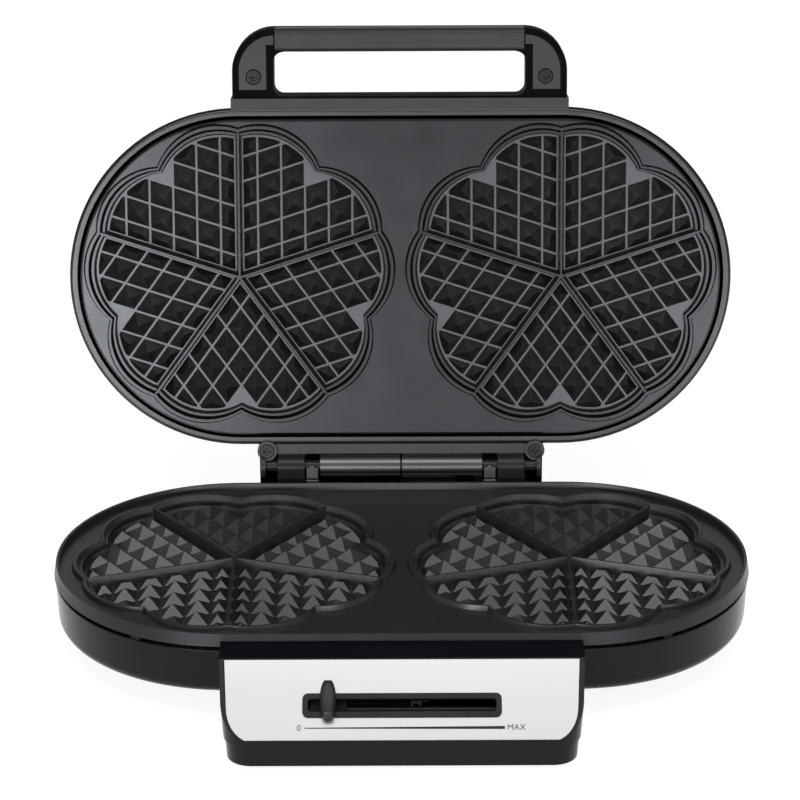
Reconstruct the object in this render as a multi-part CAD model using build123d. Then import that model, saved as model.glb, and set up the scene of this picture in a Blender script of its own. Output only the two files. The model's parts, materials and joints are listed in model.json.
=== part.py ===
from build123d import *
import os
from math import cos, pi, radians, sin, tan

# Double heart waffle maker standing open: two hinged housings, each with a cast cooking
# plate that bakes two waffles of five hearts, and a sliding heat control at the front.
# X runs along the hinge, the front is -Y, Z is up and the feet stand on z = 0.
# Everything is drawn about the waffle centre line, the lid's pieces closed. The lid is then
# turned up about the hinge pin, and all is moved so that the origin is under the middle.

# Overall layout
waffle_spacing = 169.0        # between the centres of the two waffles
outer_radius = 90.3           # round end of both housings at their rims
lower_face_z = 45.5           # face of the lower cooking plate above the table
face_gap = 6.0                # between the two plate faces when the lid is shut
open_angle = 101.5            # lid angle at rest, leaning back on its stop
middle_y = 16.2               # middle of the open appliance, behind the waffle centre line
half_spacing = waffle_spacing / 2
upper_face_z = lower_face_z + face_gap

# Waffle pattern
hearts = 5
petal_reach = outer_radius - 8.1   # waffle centre to the outer foot of the bead
petal_radius = 33.5           # round lobes, two to each heart
petal_turn = 13.0             # degrees between a ridge and the lobe on either side
bead_height = 2.5
bead_outer_run = 1.0
bead_top = 1.6
bead_inner_run = 3.8
pocket_depth = 4.0            # plate face to pocket floor
pan_thickness = 4.0           # metal under the pocket floor
pan_wall = 3.0
floor_strip = 1.2             # flat floor between bead and pyramids
ridge_height = 6.0
ridge_foot = 3.4
ridge_top = 1.1
ridge_floor = 0.7             # flat floor beside a ridge
channel_width = 1.1           # flat floor between rows of pyramids
first_channel = 9.8           # ridge centre to the first full channel
channel_pitch = 12.4
channel_count = 6
corner_channel = 2            # beyond this channel the notch between two hearts is left flat
crest_reach = petal_reach - bead_outer_run - bead_top
floor_reach = crest_reach - bead_inner_run
pad_reach = floor_reach - floor_strip
pyramid_height = (channel_pitch - channel_width) / 2
pad_height = pyramid_height + 0.5
heart_step = 360 / hearts

# Cooking plates
plate_thickness = 3.0
plate_lip_height = 3.4        # lip of the lower plate above its face
plate_lip_width = 2.5
plate_skirt = 2.9             # skirt of the lower plate below its face
plate_skirt_out = 0.6         # foot of the skirt, beyond the housings
plate_lean = 1.1              # foot of the skirt to the top of the lip, inwards
upper_plate_gap = 1.9         # ring of air round the upper plate
upper_plate_skirt = 6.0
upper_skirt_width = 2.5
boss_radius = 5.0
mid_boss_y = 55.0             # fixing points between the two waffles

# Housings
wall = 2.5
spacer_height = 2.2           # air gap between lower plate skirt and base rim
base_wall_height = 22.8
base_draft = 2.9              # degrees
base_floor_z = 8.5            # underside of the base, above the table
base_floor_radius = outer_radius - 28.3
base_edge_round = 6.0
lid_set_back = 0.9            # the lid's outline lies this far behind its waffles
lid_rim_drop = 2.0            # lid rim behind the upper plate face
lid_rim_width = 4.6
lid_rim_round = 2.2
lid_shoulder = 26.5           # height of the lid wall
lid_draft = 12.4              # degrees
lid_shoulder_round = 14.0
lid_height = 40.5             # rim to the crown of the lid
lid_crown_drop = 2.0
lid_crown_radius = outer_radius - 30.3
lid_crown_round = 40.0
base_rim_z = lower_face_z - plate_skirt - spacer_height
lid_rim_z = upper_face_z + lid_rim_drop
upper_plate_radius = outer_radius - lid_rim_width - upper_plate_gap

# Heaters and reflectors
element_radius = 44.0
element_width = 8.0
element_foot = 3.5
element_height = 5.6
element_leg_x = 14.0
element_leg_y = -70.0
terminal_radius = 1.5
sheet = 0.8
reflector_floor_radius = floor_reach + pan_wall + 1.1
reflector_flange_radius = reflector_floor_radius + 1.2
reflector_radius = outer_radius - 6.8

# Hinge
hinge_y = outer_radius + 11.7
hinge_z = lid_rim_z - 0.2
pin_radius = 3.0
pin_half_length = 73.0
knuckle_radius = 6.2
knuckle_inner_x = 0.5
knuckle_outer_x = 43.0
clip_inner_x = 43.5
clip_outer_x = 50.8
tower_inner_x = 51.2
tower_outer_x = 65.4
cheek_inner_x = 72.0
cheek_outer_x = 74.4
hinge_stop_z = hinge_z + 3.8  # top of the wall behind the hinge, where the open lid leans
running_fit = 0.05
held_fit = 0.02
hinge_strip = 2.5
lid_screw_x = 71.1
lid_screw_y = outer_radius + 3.4

# Handle
handle_half_width = 87.4
handle_reach = outer_radius + 39.7   # outer edge of the grip, from the waffle centre line
handle_corner = 22.0
handle_face_z = lid_rim_z + 2.0
handle_depth = 20.0
grip_inner = handle_reach - 12.2
opening_half_width = 65.8
opening_near = outer_radius + 4.5
opening_corner = 5.0
flange_half_width = 88.3
flange_reach = outer_radius + 3.4
cover_inset = 3.1
cover_depth = 2.5
trim_width = 3.4              # dark edge of the opening, beside the covers
handle_screw_x = 76.2
handle_screw_y = outer_radius + 14.6

# Control console
console_half_width = 87.4
console_front = outer_radius + 50.4   # front wall at the level of the top
console_rear = outer_radius - 6.0
console_top_z = 45.5
console_bottom_z = 2.5
console_corner = 16.0
console_draft = 4.0           # degrees
console_lip_z = 12.7          # lower edge of the lip under the sloping face
console_step = 0.8            # wall under the lip, inwards
slope_top_y = outer_radius + 18.7   # where the sloping face starts
slope_angle = 44.5            # degrees from level
fascia_inset = 2.4
fascia_edge = 0.6             # sloping face left bare above and below the fascia
fascia_thickness = 1.0
fascia_proud = 0.2
slot_down_slope = 23.7        # slot centre, down the slope from its top edge
slot_half_length = 44.6
slot_height = 6.1
bezel_half_length = 47.3
bezel_height = 12.0
bezel_proud = 0.8

# Heat control
travel = 70.2
knob_width = 7.5
knob_length = 18.8
knob_tip_width = 3.6
knob_stem = 4.6
knob_gap = 0.6                # knob foot over the bezel
knob_height = 6.0
gear_module = 1.4
gear_teeth = 20
gear_thickness = 5.0
gear_z = 21.5
backlash = 0.2
rack_teeth = 18
rack_pitch_y = -outer_radius - 22.7
spindle_radius = 3.0
guide_radius = 1.5
guide_half_length = 82.0
gear_radius = gear_module * gear_teeth / 2
gear_y = rack_pitch_y + gear_radius

# Feet
foot_radius = 8.0
foot_places = [(105.0, -40.0), (85.0, outer_radius - 16.3)]

REACH = 400.0                 # longer than anything it cuts


def block(x0, x1, y0, y1, z0, z1):
    """Box between two corners."""
    middle = Pos((x0 + x1) / 2, (y0 + y1) / 2, (z0 + z1) / 2)
    return middle * Box(abs(x1 - x0), abs(y1 - y0), abs(z1 - z0))


def post(x, y, z0, z1, radius):
    """Upright round bar."""
    return Pos(x, y, (z0 + z1) / 2) * Cylinder(radius, abs(z1 - z0))


def bar(x0, x1, y, z, radius):
    """Round bar along X."""
    return Pos((x0 + x1) / 2, y, z) * Rot(0, 90, 0) * Cylinder(radius, abs(x1 - x0))


def both_sides(piece):
    """The piece and its mirror image across the centre of the object."""
    return [piece, mirror(piece, about=Plane.YZ)]


def union(pieces):
    """One solid from pieces that touch or overlap."""
    first, *rest = pieces
    return first.fuse(*rest).clean() if rest else first


def racetrack(points, radii=None):
    """Solid whose section, (radius, z) points, follows the stadium-shaped outline."""
    if radii is None:
        outline = Polyline(*points, close=True)
    else:
        outline = FilletPolyline(*points, radius=radii, close=True)
    section = Pos(half_spacing, 0, 0) * (Plane.YZ * make_face(outline))
    side = extrude(section, amount=-waffle_spacing, dir=(1, 0, 0))
    end = revolve(section, Axis((half_spacing, 0, 0), (0, 0, -1)), 180)
    sides = [side, mirror(side, about=Plane.XZ)]
    return union(sides + both_sides(end))


# The waffle pattern, drawn with its pocket floor at z = 0 and a ridge along +X
def flower(reach, z):
    """Flower outline at a height: two round lobes to each heart, out to the reach."""
    offset = reach - petal_radius
    outline = Circle(offset)
    for k in range(hearts):
        for side in (-1, 1):
            turn = k * heart_step + side * petal_turn
            outline += Rot(0, 0, turn) * Pos(offset, 0, 0) * Rot(0, 0, 180) * Circle(petal_radius)
    return Pos(0, 0, z) * outline.face()


def petals(foot, tip, z0, z1):
    """Flower-shaped block, from its reach at the foot to its reach at the tip."""
    if foot == tip:
        return extrude(flower(foot, z0), amount=z1 - z0, dir=(0, 0, 1))
    return loft([flower(foot, z0), flower(tip, z1)], ruled=True)


def channels():
    """Cutter for the channels along one ridge, and for all that lies beyond the ridge."""
    top = pad_height + 1.0
    beside = (ridge_foot + ridge_floor) / 2
    far = beside + ridge_floor / 2
    points = [(-REACH / 4, -1.0), (beside, -1.0), (beside, 0), (far, 0)]
    for k in range(channel_count):
        centre = first_channel + k * channel_pitch
        near = centre - channel_width / 2
        points.append(((far + near) / 2, (near - far) / 2))
        points.append((near, 0))
        far = centre + channel_width / 2
        points.append((far, 0))
    points.append((far + top, top))
    points.append((-REACH / 4, top))
    return extrude(Plane.YZ * make_face(Polyline(*points, close=True)), amount=REACH / 4, both=True)


def heart():
    """Pyramids of one heart, between the ridge at 0 and the next one."""
    embed = 0.5
    pads = petals(pad_reach + embed, pad_reach - pad_height, -embed, pad_height)
    half = radians(heart_step / 2)
    middle = Plane(origin=(0, 0, 0), z_dir=(sin(half), -cos(half), 0))
    along = channels()
    edge = first_channel + corner_channel * channel_pitch
    beyond = block(0, REACH / 4, edge, REACH / 4, 0, pad_height + 1)
    notch = beyond & mirror(beyond, about=middle)
    return pads.cut(along).cut(mirror(along, about=middle)).cut(notch)


def ridge():
    """Rib between two hearts, from the middle of the waffle out into the bead."""
    half_foot = ridge_foot / 2
    half_top = ridge_top / 2
    embed = 0.5
    cusp = ridge_end()
    points = [(-half_foot, -embed), (half_foot, -embed), (half_foot, 0), (half_top, ridge_height),
              (-half_top, ridge_height), (-half_foot, 0)]
    return extrude(Plane.YZ * make_face(Polyline(*points, close=True)), amount=cusp)


def ridge_end():
    """Distance from the waffle centre to the crest of the bead, at a ridge."""
    offset = crest_reach - petal_radius
    turn = radians(petal_turn)
    across = offset * sin(turn)
    return offset * cos(turn) + (petal_radius ** 2 - across ** 2) ** 0.5 + bead_top / 4


def waffle_pattern():
    """One waffle: pan, bead, pocket, ridges and hearts."""
    face = pocket_depth
    crest = face + bead_height
    pan = petals(floor_reach + pan_wall, floor_reach + pan_wall, -pan_thickness, face)
    bead = petals(petal_reach, petal_reach - bead_outer_run, face, crest)
    pocket = petals(floor_reach, crest_reach, 0, crest)
    one_heart = heart()
    one_ridge = ridge()
    turns = [Rot(0, 0, k * heart_step) for k in range(hearts)]
    ridges = union([turn * one_ridge for turn in turns])
    pattern = pan.fuse(bead).cut(pocket).fuse(ridges)
    return pattern.fuse(*[turn * one_heart for turn in turns])


def cooking_plate(blank):
    """Both waffle patterns worked into a plate blank, its face at the lower plate's height."""
    pattern = waffle_pattern()
    opening = petals(floor_reach + 1, floor_reach + 1, 1.5 - pan_thickness, pocket_depth + 1)
    places = [Pos(side * half_spacing, 0, lower_face_z - pocket_depth) * Rot(0, 0, -90) for side in (-1, 1)]
    plate = blank.cut(*[place * opening for place in places])
    return plate.fuse(*[place * pattern for place in places]).clean()


def plate_bosses(top_under_pan, top_under_plate, bottom):
    """Fixing bosses behind a plate: under each waffle centre and between the waffles."""
    bosses = [post(side * half_spacing, 0, bottom, top_under_pan, boss_radius) for side in (-1, 1)]
    bosses += [post(0, side * mid_boss_y, bottom, top_under_plate, boss_radius) for side in (-1, 1)]
    return bosses


def fixing_places():
    """The four screw places that hold each cooking plate."""
    ends = [(side * half_spacing, 0) for side in (-1, 1)]
    return ends + [(0, side * mid_boss_y) for side in (-1, 1)]


pan_back_z = lower_face_z - pocket_depth - pan_thickness
plate_back_z = lower_face_z - plate_thickness
element_top_z = pan_back_z - 0.1
reflector_z = element_top_z - element_height - 0.3
boss_foot_z = reflector_z
screw_radius = 2.0
screw_hole = 1.75
screw_head_radius = 3.8
screw_head = 2.4
mirror_z = (lower_face_z + upper_face_z) / 2


def to_lid(piece):
    """Mirror a lower piece up to the closed lid."""
    return mirror(piece, about=Plane(origin=(0, 0, mirror_z), z_dir=(0, 0, 1)))


def lower_cooking_plate():
    skirt_z = lower_face_z - plate_skirt
    inner = outer_radius - plate_lip_width
    lip_z = lower_face_z + plate_lip_height
    foot = outer_radius + plate_skirt_out
    points = [(0, plate_back_z), (inner, plate_back_z), (inner, skirt_z), (foot, skirt_z),
              (foot - plate_lean, lip_z), (inner + 0.6, lip_z), (inner, lower_face_z), (0, lower_face_z)]
    blank = racetrack(points)
    blank = blank.fuse(*plate_bosses(pan_back_z + 1, plate_back_z + 1, boss_foot_z))
    plate = cooking_plate(blank)
    holes = [post(x, y, boss_foot_z - 1, boss_foot_z + 8, screw_hole) for x, y in fixing_places()]
    holes.append(post(0, thermostat_screw_y, plate_back_z - 1, plate_back_z + 2, 1.3))
    return plate.cut(*holes)


def upper_cooking_plate():
    back = lower_face_z - plate_thickness
    skirt_z = lower_face_z - upper_plate_skirt
    inner = upper_plate_radius - upper_skirt_width
    edge = 1.0
    points = [(0, back), (inner, back), (inner, skirt_z), (upper_plate_radius, skirt_z),
              (upper_plate_radius, lower_face_z - edge), (upper_plate_radius - edge, lower_face_z), (0, lower_face_z)]
    blank = Pos(0, lid_set_back, 0) * racetrack(points)
    blank = blank.fuse(*plate_bosses(pan_back_z + 1, back + 1, boss_foot_z))
    plate = cooking_plate(blank)
    holes = [post(x, y, boss_foot_z - 1, boss_foot_z + 8, screw_hole) for x, y in fixing_places()]
    return to_lid(plate.cut(*holes))


def heating_element():
    """Pressed heater tube under both pans, with its two cold ends turned to the front."""
    inner = element_radius - element_width / 2
    outer = element_radius + element_width / 2
    low_in = element_radius - element_foot / 2
    low_out = element_radius + element_foot / 2
    low = element_top_z - element_height
    ring = racetrack([(inner, element_top_z), (low_in, low), (low_out, low), (outer, element_top_z)])
    gap = block(-element_leg_x, element_leg_x, -outer - 1, -inner + 1, low - 1, element_top_z + 1)
    section = [(-element_width / 2, element_top_z), (-element_foot / 2, low),
               (element_foot / 2, low), (element_width / 2, element_top_z)]
    leg = extrude(Plane.XZ * make_face(Polyline(*section, close=True)), amount=-element_leg_y - inner)
    leg = Pos(element_leg_x, -inner, 0) * leg
    pin = post(element_leg_x, element_leg_y + 5, low - 7, low + 1, terminal_radius)
    legs = both_sides(leg) + both_sides(pin)
    return ring.cut(gap).fuse(*legs).clean()


def lower_heating_element():
    return heating_element()


def upper_heating_element():
    return to_lid(heating_element())


def reflector(flange_z, set_back):
    """Pressed sheet pan behind the heater, its flange up against the plate."""
    low = reflector_z - sheet
    points = [(0, low), (reflector_floor_radius + sheet, low),
              (reflector_flange_radius + sheet, flange_z - sheet), (reflector_radius, flange_z - sheet),
              (reflector_radius, flange_z), (reflector_flange_radius, flange_z),
              (reflector_floor_radius, reflector_z), (0, reflector_z)]
    pan = Pos(0, set_back, 0) * racetrack(points)
    holes = [post(x, y, low - 1, reflector_z + 1, screw_radius + 0.3) for x, y in fixing_places()]
    pin_y = element_leg_y + 5
    holes += [post(side * element_leg_x, pin_y, low - 1, reflector_z + 1, terminal_radius + 1.5) for side in (-1, 1)]
    return pan.cut(*holes)


def lower_reflector():
    notch = block(-tab_half_width - 1, tab_half_width + 1, -REACH / 4, -reflector_flange_radius + 2,
                  plate_back_z - 2, plate_back_z + 1)
    return reflector(plate_back_z, 0.0).cut(notch)


def upper_reflector():
    pan = to_lid(reflector(lower_face_z - upper_plate_skirt, lid_set_back))
    return pan.cut(*[post(x, y, lid_post_z - 2, lid_post_z + 1, screw_radius + 0.3) for x, y in lid_post_places()])


# Base
base_inset = base_wall_height * tan(radians(base_draft))
base_edge_z = base_rim_z - base_wall_height
base_edge_radius = outer_radius - base_inset
shelf_depth = hinge_y + 7.0
shelf_thickness = 5.0


def base_envelope(top):
    """Everything inside the outside of the base, carried straight up to the given height."""
    points = [(0, base_floor_z), (base_floor_radius, base_floor_z), (base_edge_radius, base_edge_z),
              (outer_radius, base_rim_z), (outer_radius, top), (0, top)]
    return racetrack(points)


def base_housing():
    inner_edge = base_edge_radius - wall
    points = [(0, base_floor_z), (base_floor_radius, base_floor_z), (base_edge_radius, base_edge_z),
              (outer_radius, base_rim_z), (outer_radius - wall, base_rim_z),
              (inner_edge, base_edge_z + 2.0), (base_floor_radius - 0.6, base_floor_z + wall), (0, base_floor_z + wall)]
    radii = [0, 0, base_edge_round, 0.8, 0, base_edge_round / 2, 0, 0]
    shell = racetrack(points, radii)
    inside_z = base_floor_z + wall
    posts = [post(x, y, inside_z - 1, reflector_z - sheet, boss_radius + 1) for x, y in fixing_places()]
    pads = []
    for x, y in foot_places:
        pads += both_sides(post(x, y, base_floor_z, base_edge_z, foot_radius + 1))
    shelf_half = cheek_outer_x + 1
    shelf = block(-shelf_half, shelf_half, outer_radius - 2, shelf_depth, base_rim_z - shelf_thickness, base_rim_z)
    back = block(-shelf_half, shelf_half, shelf_depth - 0.5, shelf_depth + wall, base_rim_z - shelf_thickness, hinge_stop_z)
    gussets = []
    for x in gusset_places:
        outline = Polyline((outer_radius - 2.5, base_rim_z - shelf_thickness + 1), (shelf_depth - 1, base_rim_z - shelf_thickness + 1),
                           (outer_radius - 2.5, base_edge_z + 3), close=True)
        rib = extrude(Plane.YZ * make_face(outline), amount=wall)
        gussets += both_sides(Pos(x, 0, 0) * rib)
    housing = union([shell] + posts + pads + [shelf, back] + gussets)
    cuts = []
    for x, y in fixing_places():
        cuts.append(post(x, y, base_floor_z - 1, REACH / 8, screw_radius + 0.3))
        cuts.append(post(x, y, base_floor_z - 1, base_floor_z + screw_head + 0.6, screw_head_radius + 0.4))
    for x, y in foot_places:
        cuts += both_sides(post(x, y, base_floor_z - 1, base_floor_z + foot_stem + 0.3, foot_stem_radius + 0.1))
    for x in bracket_screw_places:
        cuts += both_sides(post(x, hinge_y, base_rim_z - shelf_thickness - 1, base_rim_z + 1, screw_hole))
    cuts += console_bolt_cuts(screw_radius + 0.3)
    cuts.append(Pos(gland_x, outer_radius - 2, gland_z) * Rot(90, 0, 0) * Cylinder(gland_neck, 12))
    window = gear_radius + 3
    cuts.append(block(-window, window, -outer_radius - 2, -outer_radius + 8, gear_z - 1.5, gear_z + gear_thickness + 1.5))
    return housing.cut(*cuts)


gusset_places = (20.0, 59.0)
foot_stem = 3.0
foot_stem_radius = 4.0
bracket_screw_places = (34.0, 47.4)
gland_x = -40.0
gland_z = 26.0
gland_neck = 6.0
gland_flange = 9.0


def feet():
    pads = []
    for x, y in foot_places:
        pad = Pos(x, y, base_floor_z / 2) * Cone(foot_radius - 0.8, foot_radius, base_floor_z)
        pads += both_sides(pad + post(x, y, base_floor_z - 0.5, base_floor_z + foot_stem, foot_stem_radius))
    return pads


def screw(x, y, head_z, tip_z, head_radius=screw_head_radius, radius=screw_hole):
    """Pan-head screw standing at a place; the head is at head_z and the point at tip_z."""
    way = 1 if tip_z > head_z else -1
    head = post(x, y, head_z - way * screw_head, head_z, head_radius)
    shank = post(x, y, head_z - way * 0.5, tip_z, radius)
    return head + shank


def lower_plate_screws():
    seat = base_floor_z + screw_head + 0.6
    return [screw(x, y, seat, boss_foot_z + 7) for x, y in fixing_places()]


def upper_plate_screws():
    return [to_lid(screw(x, y, reflector_z - sheet, boss_foot_z + 7)) for x, y in fixing_places()]


def plate_spacers():
    """Small blocks that carry the lower plate's skirt on the base rim."""
    middle = outer_radius - wall / 2
    spacers = []
    for x in (40.0, half_spacing):
        for side in (-1, 1):
            piece = block(x - 2.5, x + 2.5, side * middle - 0.9, side * middle + 0.9,
                          base_rim_z, base_rim_z + spacer_height)
            spacers += both_sides(piece)
    for turn in (-60.0, 0.0, 60.0):
        piece = block(middle - 0.9, middle + 0.9, -2.5, 2.5, base_rim_z, base_rim_z + spacer_height)
        spacers += both_sides(Pos(half_spacing, 0, 0) * Rot(0, 0, turn) * piece)
    return spacers


def lower_thermal_fuse():
    low = reflector_z - sheet
    return block(30.0, 46.0, -8.0, 0.0, low - 5.0, low)


def upper_thermal_fuse():
    return to_lid(lower_thermal_fuse())


def terminal_block():
    floor = base_floor_z + wall
    body = block(gland_x - 4, gland_x + 26, 40.0, 58.0, floor, floor + 12.0)
    ways = [block(gland_x + k * 10 - 1, gland_x + k * 10 + 5, 39.0, 59.0, floor + 4, floor + 8) for k in range(3)]
    return body.cut(*ways)


def cord_gland():
    """Rubber bush in the rear wall, where the mains lead goes in."""
    wall_y = outer_radius - 0.8
    neck = Pos(gland_x, wall_y - 2, gland_z) * Rot(90, 0, 0) * Cylinder(gland_neck - 0.1, 9)
    flange = Pos(gland_x, wall_y + 2.4, gland_z) * Rot(90, 0, 0) * Cylinder(gland_flange, 3)
    bore = Pos(gland_x, wall_y, gland_z) * Rot(90, 0, 0) * Cylinder(3.4, 30)
    bush = neck + flange - bore
    around = Pos(gland_x, outer_radius, gland_z) * Rot(90, 0, 0) * Cylinder(gland_neck, 30)
    return bush.cut(base_envelope(base_rim_z + 1).cut(around))


# Hinge
def knuckle(x0, x1, bore):
    """Round barrel about the hinge pin."""
    barrel = bar(x0, x1, hinge_y, hinge_z, knuckle_radius)
    return barrel, bar(x0 - 1, x1 + 1, hinge_y, hinge_z, bore)


def base_hinge_bracket():
    strip_top = base_rim_z + hinge_strip
    strip = block(-tower_outer_x - 2, tower_outer_x + 2, outer_radius + 1.5, shelf_depth - 0.5, base_rim_z, strip_top)
    barrel, bore = knuckle(knuckle_inner_x, knuckle_outer_x, pin_radius + held_fit)
    web = block(knuckle_inner_x, knuckle_outer_x, hinge_y - 2.5, hinge_y + 2.5, strip_top - 1, hinge_z - 4)
    holes = []
    for x in bracket_screw_places:
        holes += both_sides(post(x, hinge_y, base_rim_z - 1, strip_top + 1, screw_radius + 0.2))
    notch = block(bracket_screw_places[0] - 5, bracket_screw_places[0] + 5, hinge_y - 5, hinge_y + 5, strip_top, hinge_z - 4)
    return union([strip, barrel, web]).cut(bore, notch, *holes)


def hinge_bracket_screws():
    strip_top = base_rim_z + hinge_strip
    tip = base_rim_z - shelf_thickness
    screws = []
    for x in bracket_screw_places:
        screws += both_sides(screw(x, hinge_y, strip_top, tip, head_radius=3.2))
    return screws


def hinge_side_blocks():
    strip_top = base_rim_z + hinge_strip
    eye, bore = knuckle(tower_inner_x, tower_outer_x, pin_radius + held_fit)
    leg = block(tower_inner_x, tower_outer_x, hinge_y - knuckle_radius, hinge_y + knuckle_radius, strip_top, hinge_z)
    return both_sides(union([eye, leg]).cut(bore))


def hinge_pin():
    return bar(-pin_half_length, pin_half_length, hinge_y, hinge_z, pin_radius)


def hinge_clips():
    """Saddle clips that keep the pin from wandering."""
    middle = (clip_inner_x + clip_outer_x) / 2
    front = hinge_y - knuckle_radius + 0.6
    body = block(clip_inner_x + 0.6, clip_outer_x - 0.6, front, hinge_y + 5, hinge_z - 6.4, hinge_z + 0.8)
    foot = block(clip_inner_x, clip_outer_x, front - 0.4, hinge_y + 5.4, hinge_z - 7.6, hinge_z - 6.2)
    tip = block(middle - 1.0, middle + 1.0, front, front + 1.6, hinge_z, hinge_z + 2.2)
    bore = bar(clip_inner_x - 1, clip_outer_x + 1, hinge_y, hinge_z, pin_radius + held_fit)
    return both_sides(union([body, foot, tip]).cut(bore))


lid_strip_y = outer_radius + 5.2
lid_strip_z = lid_rim_z + 4.0


def lid_hinge_bracket():
    """Strip behind the lid rim with the left barrel, two cheeks and the corner bosses."""
    strip = block(-cheek_outer_x, cheek_outer_x, outer_radius, lid_strip_y, lid_rim_z, lid_strip_z)
    barrel, bore = knuckle(-knuckle_outer_x, -knuckle_inner_x, pin_radius + running_fit)
    web = block(-knuckle_outer_x, -knuckle_inner_x, lid_strip_y - 1, hinge_y, lid_rim_z + 1.5, lid_strip_z)
    pieces = [strip, barrel, web]
    cheek_eye, cheek_bore = knuckle(cheek_inner_x, cheek_outer_x, pin_radius + running_fit)
    cheek = block(cheek_inner_x, cheek_outer_x, outer_radius, hinge_y, hinge_z - 1, lid_strip_z)
    boss = post(lid_screw_x, lid_screw_y, lid_rim_z - 2.5, lid_strip_z, 5.2)
    for piece in (cheek_eye, cheek, boss):
        pieces += both_sides(piece)
    pocket = bar(cheek_inner_x - 1, pin_half_length + 0.3, hinge_y, hinge_z, pin_radius + running_fit)
    head = post(lid_screw_x, lid_screw_y, lid_rim_z - 4, lid_rim_z - 0.6, screw_head_radius)
    hole = post(lid_screw_x, lid_screw_y, lid_rim_z - 4, lid_strip_z + 1, screw_radius + 0.2)
    cuts = [bore]
    for cut in (pocket, head, hole):
        cuts += both_sides(cut)
    return union(pieces).cut(lid_envelope(), *cuts)


def lid_hinge_screws():
    return both_sides(screw(lid_screw_x, lid_screw_y, lid_rim_z - 0.6, lid_strip_z + 8, head_radius=3.5))


# Lid
def lid_profile(inset, bottom):
    """Points of the lid's outside, or of its inside at a wall's thickness."""
    shoulder_r = outer_radius - lid_shoulder * tan(radians(lid_draft)) - inset
    shoulder_z = lid_rim_z + lid_shoulder - inset * 0.6
    crown_z = lid_rim_z + lid_height - inset
    return [(0, bottom), (outer_radius - inset, bottom), (shoulder_r, shoulder_z),
            (lid_crown_radius, crown_z - lid_crown_drop), (0, crown_z)]


def lid_envelope():
    """Everything inside the outside of the lid."""
    shape = racetrack(lid_profile(0, lid_rim_z), [0, lid_rim_round, lid_shoulder_round, lid_crown_round, 0])
    return Pos(0, lid_set_back, 0) * shape


def lid_housing():
    outside = lid_envelope()
    inside = racetrack(lid_profile(wall, lid_rim_z + 3.0), [0, 0, lid_shoulder_round - wall, lid_crown_round, 0])
    mouth_r = outer_radius - lid_rim_width
    mouth = racetrack([(0, lid_rim_z - 1), (mouth_r, lid_rim_z - 1), (mouth_r, lid_rim_z + 3.1), (0, lid_rim_z + 3.1)])
    cover_top = lid_strip_z + 14
    cover = block(-cheek_outer_x, cheek_outer_x, outer_radius - 12, lid_strip_y, lid_strip_z, cover_top)
    cover = chamfer(cover.edges().filter_by(Axis.X).group_by(Axis.Z)[-1].group_by(Axis.Y)[-1], 5.0)
    hollow = [Pos(0, lid_set_back, 0) * inside, Pos(0, lid_set_back, 0) * mouth]
    shell = union([outside, cover]).cut(*hollow)
    posts = []
    for x, y in lid_post_places():
        posts.append(post(x, y, lid_post_z, lid_rim_z + lid_height - wall - 0.5, boss_radius))
    shell = shell.fuse(*posts).clean()
    holes = [post(x, y, lid_post_z - 1, lid_post_z + 12, screw_hole) for x, y in lid_post_places()]
    holes += [post(side * lid_screw_x, lid_screw_y, lid_strip_z - 1, lid_strip_z + 9, screw_hole) for side in (-1, 1)]
    holes += handle_bolt_cuts(screw_radius + 0.2)
    return shell.cut(*holes)


lid_post_z = 2 * mirror_z - reflector_z + sheet


def lid_post_places():
    """Posts under the crown of the lid, which carry the reflector and with it the plate."""
    return [(x, y) for x in (-42.0, 42.0) for y in (-28.0, 28.0)]


def upper_reflector_screws():
    return [screw(x, y, lid_post_z - sheet, lid_post_z + 11) for x, y in lid_post_places()]


# Handle
def handle_outline(inset, near):
    """Handle outline with rounded outer corners, from the near line outwards."""
    width = handle_half_width - inset
    far = handle_reach - inset
    corner = min(handle_corner - inset, far - near - 1)
    points = [(-width, -near), (-width, -far), (width, -far), (width, -near)]
    return make_face(FilletPolyline(*points, radius=[0, corner, corner, 0], close=True))


def handle_cover_pocket(inset, z0, z1):
    """Space of the two side covers of the handle, in plan."""
    face = handle_outline(cover_inset + inset, flange_reach + 4.0 + inset)
    slab = Pos(0, 0, z0) * extrude(face, amount=z1 - z0)
    beside = opening_half_width + trim_width + inset
    above = grip_inner + trim_width + inset
    middle = grip_edge + inset
    opening = block(-beside, beside, -above, 0, z0 - 1, z1 + 1)
    return slab.cut(opening, block(-middle, middle, -REACH, 0, z0 - 1, z1 + 1))


grip_edge = 65.3


def handle_frame():
    back_z = handle_face_z + handle_depth
    body = Pos(0, 0, handle_face_z) * extrude(handle_outline(0, outer_radius - 12), amount=handle_depth)
    body = chamfer(body.edges().group_by(Axis.Z)[-1].filter_by(lambda e: e.center().Y < -outer_radius), 2.0)
    hole = block(-opening_half_width, opening_half_width, -grip_inner, -opening_near, handle_face_z - 5, back_z + 5)
    hole = fillet(hole.edges().filter_by(Axis.Z), opening_corner)
    flange = block(-flange_half_width, flange_half_width, -flange_reach, -outer_radius + 12, lid_rim_z + 0.4, back_z + 1.0)
    body = union([body, flange]).cut(hole, handle_cover_pocket(0, handle_face_z - 1, handle_face_z + cover_depth))
    grip_seat = block(-grip_edge, grip_edge, -handle_reach - 1, -grip_inner, handle_face_z - 1, handle_face_z + grip_cover)
    holes = [post(side * handle_screw_x, -handle_screw_y, handle_face_z, handle_face_z + 12, screw_hole) for side in (-1, 1)]
    return body.cut(grip_seat, lid_envelope(), *holes, *handle_bolt_cuts(screw_hole))


grip_cover = 15.0
grip_swell = 0.6
grip_round = 3.0
cover_fit = 0.25


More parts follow.
